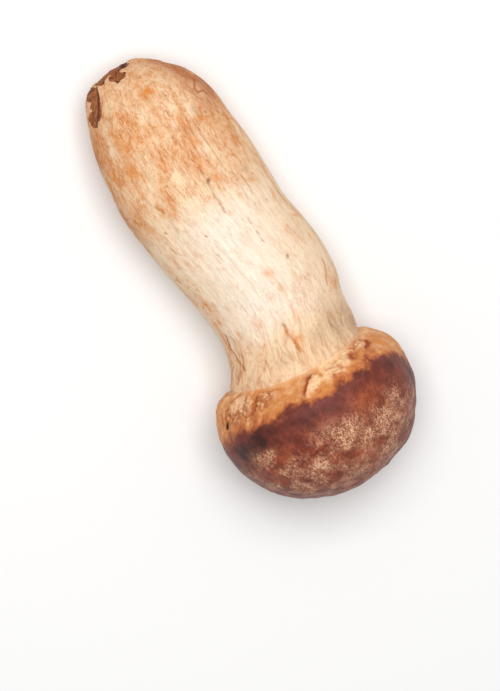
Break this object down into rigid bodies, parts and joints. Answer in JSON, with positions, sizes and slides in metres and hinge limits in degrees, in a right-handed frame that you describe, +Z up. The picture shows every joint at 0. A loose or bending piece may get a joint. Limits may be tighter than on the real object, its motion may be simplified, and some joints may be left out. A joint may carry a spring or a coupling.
{
  "type": "porcini mushroom",
  "caption": "Whole young porcini mushroom lying on its side: stout, slightly bent cream stem with a brown root scar, and a round red-brown cap still closed around it.",
  "frame": {"origin": "under the middle of the mushroom's bounding box, on the surface that it lies on", "axes": "+X runs along the mushroom from the root end to the crown of the cap, +Y across it towards the side that the stem bends to, +Z up from the surface"},
  "size_m": [0.1486, 0.063, 0.06],
  "materials": {
    "stem_skin": "matt cream skin with fine lengthwise fibres and tan stains",
    "cap_skin": "smooth red-brown skin with a pale bloom and a cream, folded margin"
  },
  "bodies": {
    "root": {"stem": "stem_skin", "cap": "cap_skin"}
  },
  "joints": []
}
